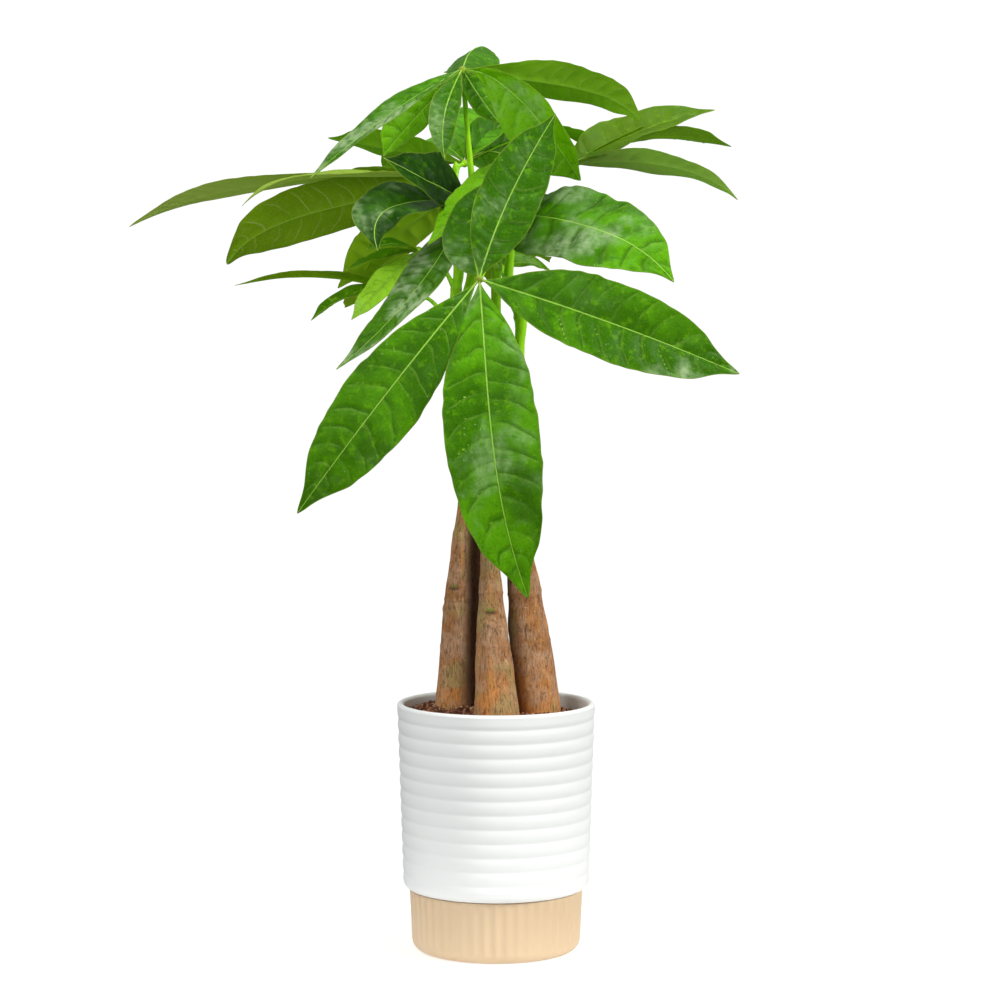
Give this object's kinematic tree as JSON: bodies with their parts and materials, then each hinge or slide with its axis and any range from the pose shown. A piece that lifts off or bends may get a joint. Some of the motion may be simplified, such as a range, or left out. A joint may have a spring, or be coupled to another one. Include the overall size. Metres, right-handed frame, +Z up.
{
  "type": "potted money tree",
  "caption": "Houseplant with bottle-shaped trunks leaning together and fans of long pointed leaflets, in a ringed white pot on a fluted tan base cup.",
  "frame": {"origin": "middle of the base cup's flat underside, on the surface that the plant stands on", "axes": "+Z up along the pot's axis, -Y towards the viewer of the picture, +X to the viewer's right"},
  "size_m": [0.3917, 0.3233, 0.578],
  "materials": {
    "cup_tan": "satin, fluted",
    "pot_white": "satin, softly ringed",
    "soil": "rough, crumbly",
    "bark": "matte, finely striated",
    "stem_green": "smooth, slightly glossy",
    "leaf_green": "waxy, veined",
    "leaf_deep": "waxy, veined",
    "leaf_olive": "waxy, veined, paler underneath",
    "leaf_young": "thin, soft sheen"
  },
  "bodies": {
    "root": {"base_cup": "cup_tan", "pot_shell": "pot_white", "soil": "soil", "trunk_left": "bark", "trunk_front": "bark", "trunk_right": "bark", "trunk_back": "bark", "shoot_left": "stem_green", "shoot_front": "stem_green", "shoot_right": "stem_green", "shoot_back": "stem_green", "leaf_front": "leaf_green", "leaf_top": "leaf_green", "leaf_crown": "leaf_green", "leaf_right": "leaf_green", "leaf_middle": "leaf_green", "leaf_dark": "leaf_deep", "leaf_long": "leaf_olive", "leaf_pale": "leaf_young", "leaf_young": "leaf_young", "leaf_sprig": "leaf_young", "leaf_low": "leaf_young", "leaf_back": "leaf_deep"}
  },
  "joints": []
}
